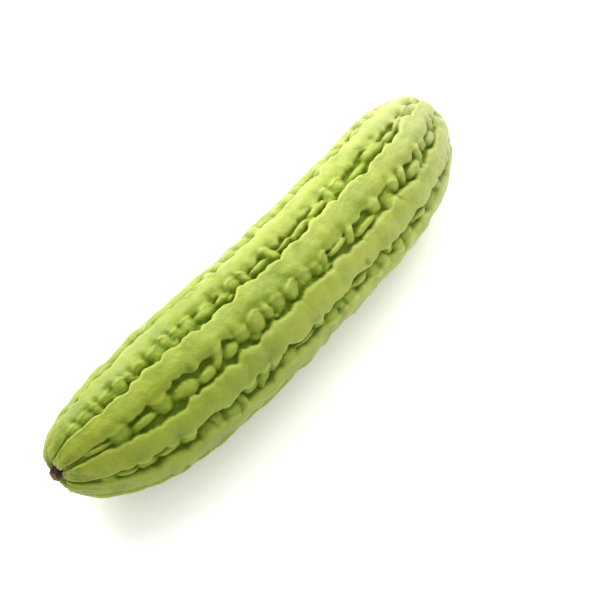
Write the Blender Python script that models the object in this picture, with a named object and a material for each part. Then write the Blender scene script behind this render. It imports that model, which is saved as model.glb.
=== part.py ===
"""Bitter melon, lying on its side at its real size.

The fruit grew as one piece. It is a long, slightly bent body of nearly round section. Ten smooth
ridges run down it from tip to tip, and the valleys between them are filled with plump warts that
grow out of the ridges' edges and leave narrow, deep creases. A short dried stump of the stalk sits
in a small hollow at one tip.

Frame, in metres: X runs along the fruit from the stalk tip to the blossom tip, Z is up, and the
fruit bends in the XY plane with its hollow side towards +Y. The origin is the middle of the
underside of the fruit's box, on the surface that the fruit lies on.

The surface is described by two coordinates. The station is the distance along the outline from the
stalk tip, and the angle goes round the fruit from +Y towards +Z. The relief is a height measured
square to the smooth outline, zero on the crest of a ridge and negative in the valleys.
"""

import math

import bmesh
import bpy
import numpy as np

MM = 0.001

# Driving dimensions of the smooth outline over the ridges
LENGTH = 273 * MM
RADIUS = 33.2 * MM
BEND = 9 * MM                      # how far the middle sits to the side of the tips
STALK_LEAN = 6 * MM                # how far the stalk tip turns back towards +Y
STALK_LEAN_SHARE = 0.20            # share of the length over which it does so
BLOSSOM_LEAN = 7 * MM
BLOSSOM_LEAN_SHARE = 0.26
STALK_CAP_SHARE = 0.31             # share of the length over which the stalk end rounds off
BLOSSOM_CAP_SHARE = 0.24
CAP_POWER = 2.3                    # 2 is an ellipse, more is blunter
TAPER = 0.05                       # share of the radius lost from TAPER_START on, over TAPER_SPAN
TAPER_START = 0.3
TAPER_SPAN = 0.5

# Ridges: angle of each crest, half its width, and how squarely each side drops (2 is a round fall)
RIDGE_ANGLE = np.radians([22, 62, 101.5, 142, 182, 217, 252, 288, 320, 351])
RIDGE_HALF = np.radians([13.6, 13.8, 14.2, 14.0, 13.6, 11.6, 12.2, 12.2, 10.6, 10.6])
RIDGE_FALL_LOW = np.array([5.0, 5.0, 9.0, 3.4, 5.0, 4.5, 5.0, 4.5, 5.0, 4.5])
RIDGE_FALL_HIGH = np.array([2.6, 2.1, 3.0, 5.0, 4.0, 5.0, 4.5, 5.0, 4.5, 5.0])
RIDGE_SWAY = math.radians(1.2)
SWAY_SPANS = (90 * MM, 47 * MM)
RIDGE_CROWN = 0.3 * MM
RIDGE_LIP = 0.5 * MM               # raised lip beside a square shoulder
LIP_PLACE = (0.80, 0.16)           # middle and width of the lip, as shares of the half width
LIP_FALLS = (2.5, 4.5)             # no lip at the first squareness, a full one from the second on
RIDGE_ROLL = 0.4 * MM              # slow rise and fall of a crest along the fruit
ROLL_SPANS = (41 * MM, 23 * MM, 13 * MM)
TWIST = math.radians(5)            # turn of the ridges from tip to tip

# Lobed edges of the ridges: share of the half width, and the lengths along the fruit, of one slow
# wave and of two sizes of round bulges
EDGE_WAVES = ((0.14, (104 * MM, 63 * MM)), (0.22, (24 * MM, 16 * MM)), (0.12, (11 * MM, 7.4 * MM)))
WIDE_STATION = 88 * MM             # the valley after the third ridge spreads round this station
WIDE_REACH = 40 * MM
WIDE_SHARE = {(2, 1): 0.25, (3, -1): 0.15}     # ridge and side, and the share that its edge gives way

# Tips: the ridges swell until they nearly meet, over these distances from each tip
RIDGE_TIP_HALF = math.radians(17.5)
STALK_SWELL = (14 * MM, 54 * MM)
BLOSSOM_SWELL = (9 * MM, 35 * MM)

# Valleys: full depth, what is left of it at each tip, and the distances over which it comes back
DEPTH = 4.8 * MM
STALK_DEPTH_SHARE = 0.30
STALK_SHALLOW = (6 * MM, 54 * MM)
BLOSSOM_DEPTH_SHARE = 0.35
BLOSSOM_SHALLOW = (5 * MM, 31 * MM)
LEAST_GAP = 2.5 * MM
BLEND = 2.4 / MM                   # sharpness of the meeting between warts, ridges and floor
STRAYS = ((1.15 * MM, 8 * MM), (0.5 * MM, 3.4 * MM))     # how far forms wander, and over what cells

# Warts: share of those in the valley after each ridge that grow from that ridge, and their sizes
ROOT_SHARE = (0.5, 0.80, 0.75, 0.5, 0.7, 0.4, 0.5, 0.6, 0.4, 0.5)
ROOT_CHANGE = 0.55                 # chance that the next wart's side is drawn again
WART_START = 22 * MM
WART_END = 15 * MM
WART_POWER = 2.3                   # outline and side of a wart, between round and square
WART_MARGIN = 2 * MM
WART_OVERLAP = 0.90
WART_DROP_LIMITS = (0.15 * MM, 3.2 * MM)
LONG_SHARE = 0.25                  # long warts lie down the valley
LONG_ALONG = (4.6 * MM, 8.5 * MM)
LONG_ACROSS = (0.30, 0.42)         # share of the valley's width
LONG_LEAST = 1.5 * MM
LONG_PLACE = (0.35, 0.62)          # share of the valley's width, from the root side
LONG_TURN = 0.22
LONG_DROP = (0.5 * MM, 1.5 * MM)
LOBE_ALONG = (2.6 * MM, 5.6 * MM)  # lobes grow out of their ridge across the valley
LOBE_ROOT = 5.2 * MM
LOBE_ROOT_POWER = 2.6              # how squarely a lobe ends inside its ridge
LOBE_REACH = (0.84, 1.10)
LOBE_TURN = (-0.15, 0.55)
LOBE_DROP = (0.4 * MM, 1.5 * MM)
LOBE_TILT = (0.10, 0.28)
BEAD_SHARE = 0.35                  # beads are small warts by the other edge of the valley
BEAD_SIZE = (1.4 * MM, 2.7 * MM)
BEAD_STRETCH = (0.9, 1.6)
BEAD_DROP = (1.5 * MM, 2.9 * MM)
BEAD_STRAY = 1.5 * MM
NOTCH_SHARE = 0.7                  # notches are small hollows in a ridge's edge, between lobes
NOTCH_INSET = 0.3 * MM
NOTCH_ALONG = (0.9 * MM, 1.6 * MM)
NOTCH_ACROSS = (1.4 * MM, 2.6 * MM)
NOTCH_DEPTH = (0.7 * MM, 1.9 * MM)
SEED = 11

# Hollows round the two tips
STALK_PIT_DEPTH = 4.5 * MM
STALK_PIT_REACH = 7.2 * MM
PIT_FLOOR = 4.9 * MM               # distance of the hollow's flat floor from the outline's tip
PIT_FLOOR_RADII = (4.4 * MM, 6.8 * MM)   # flat inside the first, and left as it grew outside the second
BLOSSOM_PIT_DEPTH = 2.5 * MM
BLOSSOM_PIT_REACH = 5 * MM

# Stump of the stalk
STUMP_GAP = 0.3 * MM
STUMP_LENGTH = 4.3 * MM
STUMP_HALF_WIDTH = 3.4 * MM
STUMP_HALF_HEIGHT = 4.6 * MM
STUMP_END_SHARE = 0.80             # its outer end is narrower than its base
STUMP_DROOP = 1.2 * MM
STUMP_LOBES = 5
STUMP_LOBE_SHARE = 0.10
STUMP_LOBE_TWIST = 2.0
STUMP_SIDES = 20
STUMP_LEVELS = 5
STUMP_CREASE = math.radians(40)

# Meshes
FINE_AROUND = 300
FINE_ALONG = 340
FRUIT_TRIANGLES = 11200
SEAT_DEPTH = 1.0 * MM             # how much of the lowest ridges is pressed flat


def ease(x):
    """Smooth step from 0 to 1 as x goes from 0 to 1."""
    x = np.clip(x, 0, 1)
    return x * x * (3 - 2 * x)


def ease_between(x, span):
    """Smooth step from 0 to 1 as x goes from the first value of span to the second."""
    return ease((x - span[0]) / (span[1] - span[0]))


def wave(x, phases, spans):
    """Mean of sine waves with the given phases and wavelengths."""
    return sum(np.sin(2 * np.pi * x / span + phase) for phase, span in zip(phases, spans)) / len(spans)


def scallops(x, phases, spans):
    """Mean of rows of round bulges that meet in cusps, one bulge to a span, about zero."""
    return sum(2 * np.abs(np.sin(np.pi * x / span + phase)) - 4 / np.pi
               for phase, span in zip(phases, spans)) / len(spans)


def turn_between(a, b):
    """Signed angle from b to a, between minus and plus half a turn."""
    return (a - b + np.pi) % (2 * np.pi) - np.pi


def patchwork(along, turn, cell, girth, seed):
    """Smooth seeded unevenness between -1 and 1, from random values on a lattice that goes round."""
    around = max(3, round(girth / cell))
    rows = int(np.max(along) / cell) + 3
    values = np.random.default_rng(seed).uniform(-1, 1, (rows, around))
    u = np.clip(along / cell, 0, rows - 2)
    v = (turn / (2 * np.pi) * around) % around
    i, j = u.astype(int), v.astype(int) % around
    fu, fv = ease(u - i), ease(v - np.floor(v))
    j_next = (j + 1) % around
    low = values[i, j] * (1 - fv) + values[i, j_next] * fv
    high = values[i + 1, j] * (1 - fv) + values[i + 1, j_next] * fv
    return low * (1 - fu) + high * fu


def body_radius(t):
    """Radius at share t of the length, before the ends round off."""
    return RADIUS * (1 - TAPER * np.clip((t - TAPER_START) / TAPER_SPAN, 0, 1))


def outline_radius(t):
    """Radius of the smooth outline at share t of the length: the body with two blunt rounded ends."""
    stalk = np.clip(1 - t / STALK_CAP_SHARE, 0, 1)
    blossom = np.clip((t - 1 + BLOSSOM_CAP_SHARE) / BLOSSOM_CAP_SHARE, 0, 1)
    stalk_cap = (1 - stalk ** CAP_POWER) ** (1 / CAP_POWER)
    blossom_cap = (1 - blossom ** CAP_POWER) ** (1 / CAP_POWER)
    return body_radius(t) * stalk_cap * blossom_cap


def outline_table(count=4001):
    """Share of the length and station of points along the outline, crowded towards the two tips."""
    w = np.linspace(0, 1, count)
    t = w - 0.96 * np.sin(2 * np.pi * w) / (2 * np.pi)
    steps = np.hypot(np.diff(t * LENGTH), np.diff(outline_radius(t)))
    return t, np.concatenate([[0], np.cumsum(steps)])


class Relief:
    """Ridges and warts of the fruit, as a height over its smooth outline."""

    def __init__(self, end_station):
        self.end = end_station
        self.count = len(RIDGE_ANGLE)
        rng = np.random.default_rng(SEED)
        self.phase = rng.uniform(0, 2 * np.pi, (self.count, 17))
        self.warts, self.notches = [], []
        for i in range(self.count):
            self.fill_valley(i, rng)

    def ridge_centre(self, i, s):
        """Angle of ridge i at station s, with a slow sway."""
        return RIDGE_ANGLE[i] + RIDGE_SWAY * wave(s, self.phase[i, :2], SWAY_SPANS)

    def ridge_half(self, i, s, side):
        """Half width of ridge i towards lower (-1) or higher (+1) angles, with a lobed edge."""
        phases = self.phase[i, 2:8] if side < 0 else self.phase[i, 8:14]
        share = 1
        for k, (size, spans) in enumerate(EDGE_WAVES):
            form = wave if k == 0 else scallops
            share = share + size * form(s, phases[2 * k:2 * k + 2], spans)
        share = share - WIDE_SHARE.get((i, side), 0) * np.exp(-((s - WIDE_STATION) / WIDE_REACH) ** 2)
        open_share = ease_between(s, STALK_SWELL) * ease_between(self.end - s, BLOSSOM_SWELL)
        return RIDGE_HALF[i] * share * open_share + RIDGE_TIP_HALF * (1 - open_share)

    def valley(self, i, s):
        """Angles of both edges and width in metres of the valley after ridge i, at station s."""
        after = (i + 1) % self.count
        turn = 2 * np.pi if after == 0 else 0
        low = self.ridge_centre(i, s) + self.ridge_half(i, s, 1)
        high = self.ridge_centre(after, s) + turn - self.ridge_half(after, s, -1)
        return low, high, max((high - low) * RADIUS, LEAST_GAP)

    def fill_valley(self, i, rng):
        """Add the warts and notches of the valley after ridge i, from the stalk tip on."""
        s = WART_START + rng.uniform(0, LONG_ALONG[0])
        side = 1 if rng.uniform() < ROOT_SHARE[i] else -1
        while s < self.end - WART_END:
            low, high, gap = self.valley(i, s + LOBE_ALONG[0])
            if rng.uniform() < ROOT_CHANGE:
                side = 1 if rng.uniform() < ROOT_SHARE[i] else -1
            edge, other_edge = (low, high) if side > 0 else (high, low)
            if rng.uniform() < LONG_SHARE:
                along = rng.uniform(*LONG_ALONG)
                across = max(rng.uniform(*LONG_ACROSS) * gap, LONG_LEAST)
                offset = rng.uniform(*LONG_PLACE) * gap
                turn = rng.uniform(-LONG_TURN, LONG_TURN)
                drop, tilt, root = rng.uniform(*LONG_DROP), 0.0, 0
            else:
                along = rng.uniform(*LOBE_ALONG)
                reach = rng.uniform(*LOBE_REACH) * gap
                across = (LOBE_ROOT + reach) / 2
                offset = (reach - LOBE_ROOT) / 2
                turn = side * rng.uniform(*LOBE_TURN)
                drop = rng.uniform(*LOBE_DROP)
                tilt, root = side * rng.uniform(*LOBE_TILT), side
            s += along * WART_OVERLAP
            self.warts.append(dict(s=s, a=edge + side * offset / RADIUS, along=along, across=across,
                                   turn=turn, drop=drop, tilt=tilt, root=root))
            s += along * WART_OVERLAP
            if rng.uniform() < NOTCH_SHARE:
                self.notches.append(dict(s=s, a=edge - side * NOTCH_INSET / RADIUS,
                                         along=rng.uniform(*NOTCH_ALONG), across=rng.uniform(*NOTCH_ACROSS),
                                         depth=rng.uniform(*NOTCH_DEPTH)))
            if rng.uniform() < BEAD_SHARE:
                size = rng.uniform(*BEAD_SIZE)
                self.warts.append(dict(s=s + rng.uniform(-BEAD_STRAY, BEAD_STRAY),
                                       a=other_edge - side * 0.5 * size / RADIUS,
                                       along=size * rng.uniform(*BEAD_STRETCH), across=size,
                                       turn=rng.uniform(-1, 1), drop=rng.uniform(*BEAD_DROP),
                                       tilt=0.0, root=0))

    def floor_depth(self, s):
        """Depth of the valley floor at station s."""
        stalk = STALK_DEPTH_SHARE + (1 - STALK_DEPTH_SHARE) * ease_between(s, STALK_SHALLOW)
        blossom = BLOSSOM_DEPTH_SHARE + (1 - BLOSSOM_DEPTH_SHARE) * ease_between(self.end - s, BLOSSOM_SHALLOW)
        return DEPTH * stalk * blossom

    def ridge_height(self, i, s, a, depth):
        """Height of ridge i alone, and whether each point lies on it."""
        away = turn_between(a, self.ridge_centre(i, s))
        low = away < 0
        half = np.where(low, self.ridge_half(i, s, -1), self.ridge_half(i, s, 1))
        fall = np.where(low, RIDGE_FALL_LOW[i], RIDGE_FALL_HIGH[i])
        q = np.clip(np.abs(away) / half, 0, 1)
        crown = np.minimum(RIDGE_CROWN * q ** 2, 0.4 * depth)
        square = np.clip((fall - LIP_FALLS[0]) / (LIP_FALLS[1] - LIP_FALLS[0]), 0, 1)
        lip = RIDGE_LIP * square * np.exp(-((q - LIP_PLACE[0]) / LIP_PLACE[1]) ** 2)
        roll = RIDGE_ROLL * wave(s, self.phase[i, 14:17], ROLL_SPANS)
        return -depth + (depth - crown + lip + roll) * np.sqrt(1 - q ** fall), q < 1

    def wart_height(self, wart, s, a, radius, depth):
        """Height of one wart alone, a round-sided cushion, and whether each point lies on it.

        A lobe stays high towards its root, so that it leaves its ridge without a step.
        """
        ds = s - wart["s"]
        da = turn_between(a, wart["a"]) * radius
        c, n = math.cos(wart["turn"]), math.sin(wart["turn"])
        u = np.abs(c * ds + n * da) / wart["along"]
        v = c * da - n * ds
        v_share = np.clip(np.abs(v) / wart["across"], 0, 2)
        v_share = np.where(v * wart["root"] < 0, v_share ** LOBE_ROOT_POWER, v_share)
        q = np.clip((u ** WART_POWER + v_share ** WART_POWER) ** (1 / WART_POWER), 0, 1)
        drop = np.clip(wart["drop"] + wart["tilt"] * v, *WART_DROP_LIMITS) * depth / DEPTH
        return -depth + (depth - drop) * np.sqrt(1 - q ** WART_POWER), q < 1

    def notch_depths(self, stations, s, a, radius, depth):
        """Sum of the notches, each a round Gaussian hollow, over rows at the given stations."""
        total = np.zeros_like(s)
        for notch in self.notches:
            rows = np.abs(stations - notch["s"]) < 3 * notch["along"] + WART_MARGIN
            ds = (s[rows] - notch["s"]) / notch["along"]
            da = turn_between(a[rows], notch["a"]) * radius[rows] / notch["across"]
            total[rows] += notch["depth"] * np.exp(-ds ** 2 - da ** 2) * depth[rows] / DEPTH
        return total

    def strayed(self, s, a, radius):
        """Station and angle moved by two sizes of smooth unevenness, so that no form repeats."""
        girth = 2 * np.pi * RADIUS
        calm = np.clip(radius / RADIUS, 0, 1) ** 2
        ds, da = np.zeros_like(s), np.zeros_like(s)
        for k, (size, cell) in enumerate(STRAYS):
            ds += size * patchwork(s, a, cell, girth, SEED + 10 * k + 1)
            da += size * patchwork(s, a, cell, girth, SEED + 10 * k + 2)
        return s + calm * ds, a + calm * da / RADIUS

    def height(self, s, a, radius):
        """Height at points given by rows of equal station: a soft maximum of floor, ridges and warts."""
        depth = self.floor_depth(s)
        ws, wa = self.strayed(s, a, radius)
        notched = self.notch_depths(s[:, 0], ws, wa, radius, depth)
        floor = np.exp(-BLEND * depth)
        total = floor.copy()
        for i in range(self.count):
            h, on = self.ridge_height(i, ws, wa, depth)
            h = np.maximum(h - notched, -depth)
            total += np.where(on, np.exp(BLEND * h) - floor, 0)
        for wart in self.warts:
            rows = np.abs(s[:, 0] - wart["s"]) < 1.05 * max(wart["along"], wart["across"]) + WART_MARGIN
            h, on = self.wart_height(wart, ws[rows], wa[rows], radius[rows], depth[rows])
            total[rows] += np.where(on, np.exp(BLEND * h) - floor[rows], 0)
        h = np.log(total) / BLEND
        h -= STALK_PIT_DEPTH * np.exp(-(s / STALK_PIT_REACH) ** 2)
        h -= BLOSSOM_PIT_DEPTH * np.exp(-((self.end - s) / BLOSSOM_PIT_REACH) ** 2)
        return h


def fruit_points(row_share, angle):
    """Positions for a grid of rows (share of the outline from the stalk tip) and angles, in metres."""
    t_table, station_table = outline_table()
    end = station_table[-1]
    s = row_share * end
    t = np.interp(s, station_table, t_table)
    radius = outline_radius(t)
    grid_s, grid_a = np.meshgrid(s, angle, indexing="ij")
    height = Relief(end).height(grid_s, grid_a, np.broadcast_to(radius[:, None], grid_s.shape))

    # square to the outline: along the axis and away from it
    d_axis = np.gradient(t * LENGTH, s)
    d_radius = np.gradient(radius, s)
    slope = np.hypot(d_axis, d_radius)
    axis = t[:, None] * LENGTH - (d_radius / slope)[:, None] * height
    away = np.maximum(radius[:, None] + (d_axis / slope)[:, None] * height, 0)
    away[0] = 0
    away[-1] = 0

    # the hollow round the stalk has a flat floor
    grown = ease_between(away, PIT_FLOOR_RADII)
    near_stalk = axis < LENGTH / 10
    axis = np.where(near_stalk, PIT_FLOOR * (1 - grown) + axis * grown, axis)

    # bend in the XY plane, with the underside kept level
    u = axis / LENGTH
    stalk = np.clip(1 - u / STALK_LEAN_SHARE, 0, 1) ** 2
    blossom = np.clip((u - 1 + BLOSSOM_LEAN_SHARE) / BLOSSOM_LEAN_SHARE, 0, 1) ** 2
    side = -4 * BEND * u * (1 - u) + STALK_LEAN * stalk + BLOSSOM_LEAN * blossom
    lean = np.arctan(-4 * BEND * (1 - 2 * u) / LENGTH)
    angle_here = grid_a + TWIST * (t[:, None] - 0.5)
    across = away * np.cos(angle_here)
    x = axis - LENGTH / 2 - across * np.sin(lean)
    y = side + across * np.cos(lean)
    z = away * np.sin(angle_here) + body_radius(t)[:, None]
    return np.stack([x, y, z], axis=-1)


def coordinates(mesh):
    """Vertex positions of a mesh as an array of rows."""
    co = np.empty(len(mesh.vertices) * 3)
    mesh.vertices.foreach_get("co", co)
    return co.reshape(-1, 3)


def material(name, colour, roughness):
    """Principled material with a plain colour."""
    mat = bpy.data.materials.new(name)
    mat.use_nodes = True
    shader = mat.node_tree.nodes["Principled BSDF"]
    shader.inputs["Base Color"].default_value = (*colour, 1)
    shader.inputs["Roughness"].default_value = roughness
    shader.inputs["Metallic"].default_value = 0
    return mat


def add_object(name, mesh, mat, collection):
    """Object of the given mesh and material, in the collection."""
    mesh.materials.clear()
    mesh.materials.append(mat)
    obj = bpy.data.objects.new(name, mesh)
    collection.objects.link(obj)
    return obj


def sphere_mesh(name, along, around):
    """Sphere primitive whose rings become the fruit's rows; its poles become the two tips."""
    bm = bmesh.new()
    bmesh.ops.create_uvsphere(bm, u_segments=around, v_segments=along, radius=1)
    mesh = bpy.data.meshes.new(name)
    bm.to_mesh(mesh)
    bm.free()
    return mesh


def thin_mesh(obj, triangles):
    """Reduce an object's mesh to about that many triangles, keeping them where the surface turns most."""
    fine = obj.data
    fine_triangles = sum(len(face.vertices) - 2 for face in fine.polygons)
    thin = obj.modifiers.new("Thin", "DECIMATE")
    thin.use_collapse_triangulate = True
    thin.ratio = triangles / fine_triangles
    evaluated = obj.evaluated_get(bpy.context.evaluated_depsgraph_get())
    obj.data = bpy.data.meshes.new_from_object(evaluated)
    obj.modifiers.clear()
    bpy.data.meshes.remove(fine)
    obj.data.name = obj.name


def build_fruit(collection):
    """The fruit: a fine sphere moved onto the melon's surface, thinned, and pressed flat below.

    Returns:
        The shift that brought the fruit's box over the origin.
    """
    mesh = sphere_mesh("fruit", FINE_ALONG, FINE_AROUND)
    co = coordinates(mesh)
    row = np.rint(np.arccos(np.clip(-co[:, 2], -1, 1)) / np.pi * FINE_ALONG).astype(int)
    column = np.rint(np.arctan2(co[:, 1], co[:, 0]) / (2 * np.pi) * FINE_AROUND).astype(int) % FINE_AROUND
    angle = np.arange(FINE_AROUND) * 2 * np.pi / FINE_AROUND
    grid = fruit_points(np.linspace(0, 1, FINE_ALONG + 1), angle)
    mesh.vertices.foreach_set("co", grid[row, column].ravel())
    mesh.update()
    fruit = add_object("fruit", mesh, material("melon_skin", (0.42, 0.50, 0.09), 0.45), collection)
    thin_mesh(fruit, FRUIT_TRIANGLES)

    co = coordinates(fruit.data)
    low, high = co.min(axis=0), co.max(axis=0)
    shift = np.array([-(low[0] + high[0]) / 2, -(low[1] + high[1]) / 2, -low[2] - SEAT_DEPTH])
    co += shift
    co[:, 2] = np.maximum(co[:, 2], 0)
    fruit.data.vertices.foreach_set("co", co.ravel())
    fruit.data.update()
    fruit.data.shade_smooth()
    return shift


def build_stump(collection, shift):
    """The dried stump of the stalk: a short oval cone, lobed and drooping, in the hollow at the tip."""
    bm = bmesh.new()
    bmesh.ops.create_cone(bm, cap_ends=True, cap_tris=False, segments=STUMP_SIDES,
                          radius1=1, radius2=1, depth=1)
    long_edges = [e for e in bm.edges if abs(e.verts[0].co.z - e.verts[1].co.z) > 0.5]
    bmesh.ops.subdivide_edges(bm, edges=long_edges, cuts=STUMP_LEVELS - 1)
    base = np.array([PIT_FLOOR - STUMP_GAP - LENGTH / 2, STALK_LEAN, RADIUS]) + shift
    for vert in bm.verts:
        out = vert.co.z + 0.5
        round_angle = math.atan2(vert.co.y, vert.co.x)
        lobe = 1 + STUMP_LOBE_SHARE * math.cos(STUMP_LOBES * round_angle + STUMP_LOBE_TWIST * out)
        size = lobe * (1 - (1 - STUMP_END_SHARE) * out)
        vert.co = (base[0] - STUMP_LENGTH * out,
                   base[1] - STUMP_HALF_WIDTH * size * math.cos(round_angle),
                   base[2] + STUMP_HALF_HEIGHT * size * math.sin(round_angle) - STUMP_DROOP * out ** 2)
    mesh = bpy.data.meshes.new("stalk_stump")
    bm.to_mesh(mesh)
    bm.free()
    mesh.shade_smooth()
    mesh.set_sharp_from_angle(angle=STUMP_CREASE)
    add_object("stalk_stump", mesh, material("dried_stalk", (0.16, 0.075, 0.03), 0.85), collection)


def main():
    """Clear the scene and build the melon."""
    for obj in list(bpy.data.objects):
        bpy.data.objects.remove(obj)
    collection = bpy.data.collections.new("bitter_melon")
    bpy.context.scene.collection.children.link(collection)
    shift = build_fruit(collection)
    build_stump(collection, shift)


main()
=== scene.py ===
"""Looks of the bitter melon: its skin, its dried stump of stalk, the floor, the lights and the camera.

The fruit and the stump replace their CAD solids with finer meshes of the same form. The surface is a
function of two coordinates. The station is the distance along the smooth outline from the stalk tip,
and the angle goes round the fruit from +Y towards +Z. The relief is a height square to that outline:
zero on the crest of a ridge and negative in the valleys. All lengths are in metres.
"""

import logging
import math
from dataclasses import dataclass, field
from enum import Enum

import bpy
import numpy as np
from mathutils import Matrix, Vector


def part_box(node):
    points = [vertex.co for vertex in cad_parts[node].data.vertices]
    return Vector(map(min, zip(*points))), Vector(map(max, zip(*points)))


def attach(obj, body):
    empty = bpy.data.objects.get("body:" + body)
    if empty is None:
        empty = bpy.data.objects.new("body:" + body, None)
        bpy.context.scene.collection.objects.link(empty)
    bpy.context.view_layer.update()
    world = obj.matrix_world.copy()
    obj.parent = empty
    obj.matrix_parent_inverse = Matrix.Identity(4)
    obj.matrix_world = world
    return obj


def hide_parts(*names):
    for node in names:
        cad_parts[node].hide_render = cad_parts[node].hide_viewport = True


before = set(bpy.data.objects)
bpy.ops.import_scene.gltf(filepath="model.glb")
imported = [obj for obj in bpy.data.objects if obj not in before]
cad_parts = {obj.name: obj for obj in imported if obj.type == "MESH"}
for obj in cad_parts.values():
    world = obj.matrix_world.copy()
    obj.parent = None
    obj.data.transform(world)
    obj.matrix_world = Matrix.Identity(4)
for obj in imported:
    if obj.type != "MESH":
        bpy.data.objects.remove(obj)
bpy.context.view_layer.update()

MM = 0.001
LOG = logging.getLogger("bitter_melon")
Colour = tuple[float, float, float]
Place = tuple[float, float, float]
Span = tuple[float, float]
Array = np.ndarray
Piece = bpy.types.Object
Socket = bpy.types.NodeSocket


class Side(Enum):
    """Side of a ridge, as seen along the angle that goes round the fruit."""

    LOW = -1
    HIGH = 1


# Small functions of arrays


def ease(x: Array) -> Array:
    """Smooth step: three x squared less two x cubed, held between 0 and 1."""
    x = np.clip(x, 0, 1)
    return x * x * (3 - 2 * x)


def ease_between(x: Array, span: Span) -> Array:
    """Smooth step from 0 to 1 as x goes from the first value of span to the second."""
    return ease((x - span[0]) / (span[1] - span[0]))


def wave(x: Array, phases: Array, spans: tuple[float, ...]) -> Array:
    """Mean of sine waves of x with the given phases and wavelengths."""
    return sum(np.sin(2 * np.pi * x / span + phase) for phase, span in zip(phases, spans)) / len(spans)


def scallops(x: Array, phases: Array, spans: tuple[float, ...]) -> Array:
    """Mean of rows of round bulges that meet in cusps, one bulge to a span, about zero."""
    return sum(2 * np.abs(np.sin(np.pi * x / span + phase)) - 4 / np.pi
               for phase, span in zip(phases, spans)) / len(spans)


def turn_between(a: Array, b: Array) -> Array:
    """Signed angle from b to a, between minus and plus half a turn."""
    return (a - b + np.pi) % (2 * np.pi) - np.pi


def patchwork(along: Array, turn: Array, cell: float, girth: float, seed: int) -> Array:
    """Smooth seeded unevenness over the skin, between about -1 and 1.

    Random values sit on a lattice of the given cell size, which closes on itself round the fruit. A
    point takes the eased mean of the four values round it.

    Args:
        along: Station of each point.
        turn: Angle of each point.
        cell: Size of the lattice's cells.
        girth: Distance round the fruit.
        seed: Seed of the random values.

    Returns:
        The unevenness at each point.
    """
    around = max(3, round(girth / cell))
    rows = int(np.max(along) / cell) + 3
    values = np.random.default_rng(seed).uniform(-1, 1, (rows, around))
    u = np.clip(along / cell, 0, rows - 2)
    v = (turn / (2 * np.pi) * around) % around
    i, j = u.astype(int), v.astype(int) % around
    fu, fv = ease(u - i), ease(v - np.floor(v))
    j_next = (j + 1) % around
    low = values[i, j] * (1 - fv) + values[i, j_next] * fv
    high = values[i + 1, j] * (1 - fv) + values[i + 1, j_next] * fv
    return low * (1 - fu) + high * fu


def spread(values: Array, rows: int, columns: int) -> Array:
    """Mean over a window of a grid that closes on itself across its columns.

    Args:
        values: The grid.
        rows: Half the window's height, in rows.
        columns: Half the window's width, in columns.

    Returns:
        The grid of means, of the same size.
    """
    padded = np.pad(values, ((rows + 1, rows), (0, 0)), mode="edge")
    total = np.cumsum(padded, axis=0)
    tall = (total[2 * rows + 1:] - total[:-2 * rows - 1]) / (2 * rows + 1)
    padded = np.pad(tall, ((0, 0), (columns + 1, columns)), mode="wrap")
    total = np.cumsum(padded, axis=1)
    return (total[:, 2 * columns + 1:] - total[:, :-2 * columns - 1]) / (2 * columns + 1)


# Form of the fruit


@dataclass
class Outline:
    """Smooth outline over the ridges: a bent body with two blunt, rounded ends."""

    length: float = 273 * MM
    radius: float = 33.2 * MM
    bend: float = 9 * MM
    stalk_lean: float = 6 * MM
    stalk_lean_share: float = 0.20
    blossom_lean: float = 7 * MM
    blossom_lean_share: float = 0.26
    stalk_cap_share: float = 0.31
    blossom_cap_share: float = 0.24
    cap_power: float = 2.3
    taper: float = 0.05
    taper_start: float = 0.3
    taper_span: float = 0.5
    twist: float = math.radians(5)
    tip_crowding: float = 0.96

    def body_radius(self, t: Array) -> Array:
        """Radius at share t of the length, before the ends round off."""
        return self.radius * (1 - self.taper * np.clip((t - self.taper_start) / self.taper_span, 0, 1))

    def outline_radius(self, t: Array) -> Array:
        """Radius at share t of the length: the body's, times two superellipse caps."""
        p = self.cap_power
        stalk = np.clip(1 - t / self.stalk_cap_share, 0, 1)
        blossom = np.clip((t - 1 + self.blossom_cap_share) / self.blossom_cap_share, 0, 1)
        return self.body_radius(t) * (1 - stalk ** p) ** (1 / p) * (1 - blossom ** p) ** (1 / p)

    def table(self, count: int = 4001) -> tuple[Array, Array]:
        """Share of the length and station of points along the outline, crowded towards both tips."""
        w = np.linspace(0, 1, count)
        t = w - self.tip_crowding * np.sin(2 * np.pi * w) / (2 * np.pi)
        steps = np.hypot(np.diff(t * self.length), np.diff(self.outline_radius(t)))
        return t, np.concatenate([[0], np.cumsum(steps)])

    def bent(self, t: Array, axis: Array, away: Array, angle: Array) -> Array:
        """Place points round the bent axis, a parabola in the XY plane whose tips turn towards +Y.

        A point stands away from the axis at its angle, and the underside is kept level.

        Args:
            t: Share of the length of each row.
            axis: Distance of each point along the axis.
            away: Distance of each point from the axis.
            angle: Angle of each point before the twist.

        Returns:
            Positions, with X, Y and Z last.
        """
        u = axis / self.length
        stalk = np.clip(1 - u / self.stalk_lean_share, 0, 1) ** 2
        blossom = np.clip((u - 1 + self.blossom_lean_share) / self.blossom_lean_share, 0, 1) ** 2
        side = -4 * self.bend * u * (1 - u) + self.stalk_lean * stalk + self.blossom_lean * blossom
        lean = np.arctan(-4 * self.bend * (1 - 2 * u) / self.length)
        turned = angle + self.twist * (t[:, None] - 0.5)
        across = away * np.cos(turned)
        x = axis - self.length / 2 - across * np.sin(lean)
        y = side + across * np.cos(lean)
        z = away * np.sin(turned) + self.body_radius(t)[:, None]
        return np.stack([x, y, z], axis=-1)


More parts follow.
